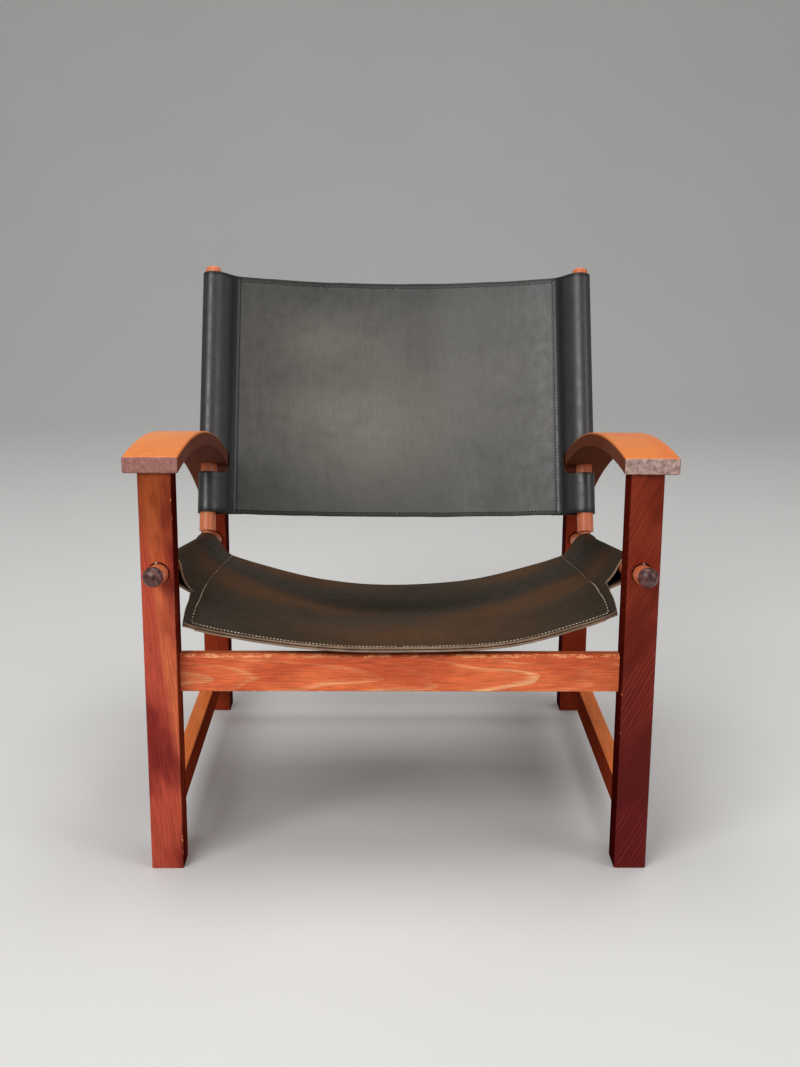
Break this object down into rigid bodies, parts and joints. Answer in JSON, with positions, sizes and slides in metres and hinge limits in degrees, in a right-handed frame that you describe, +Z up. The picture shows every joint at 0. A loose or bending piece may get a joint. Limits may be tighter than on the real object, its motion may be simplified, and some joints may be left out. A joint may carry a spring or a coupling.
{
  "type": "sling lounge chair",
  "caption": "Low wooden lounge chair with bowed arms, round rails and posts, and a leather seat and back slung between them on sewn sleeves.",
  "frame": {"origin": "middle of the chair's box in plan, on the floor", "axes": "+X to the right as seen from the front, +Y from front to back, +Z up"},
  "size_m": [0.674, 0.7396, 0.7357],
  "materials": {
    "leg_wood": "stained and lacquered, satin",
    "arm_wood": "stained and lacquered, glossy on top",
    "stretcher_wood": "stained and lacquered, satin",
    "rod_wood": "turned, stained and lacquered, dark domed ends",
    "dowel_wood": "bare",
    "seat_leather": "worn saddle leather, cream thread, pale raw edges",
    "back_leather": "saddle leather, scuffed in the middle, black thread"
  },
  "bodies": {
    "root": {"front_leg_left": "leg_wood", "front_leg_right": "leg_wood", "rear_leg_left": "leg_wood", "rear_leg_right": "leg_wood", "arm_left": "arm_wood", "arm_right": "arm_wood", "front_arm_dowel_left": "dowel_wood", "front_arm_dowel_right": "dowel_wood", "rear_arm_dowel_left": "dowel_wood", "rear_arm_dowel_right": "dowel_wood", "front_stretcher": "stretcher_wood", "rear_stretcher": "stretcher_wood", "side_stretcher_left": "stretcher_wood", "side_stretcher_right": "stretcher_wood", "seat_rail_left": "rod_wood", "seat_rail_right": "rod_wood", "back_post_left": "rod_wood", "back_post_right": "rod_wood", "seat_sling": "seat_leather", "back_sling": "back_leather"}
  },
  "joints": []
}
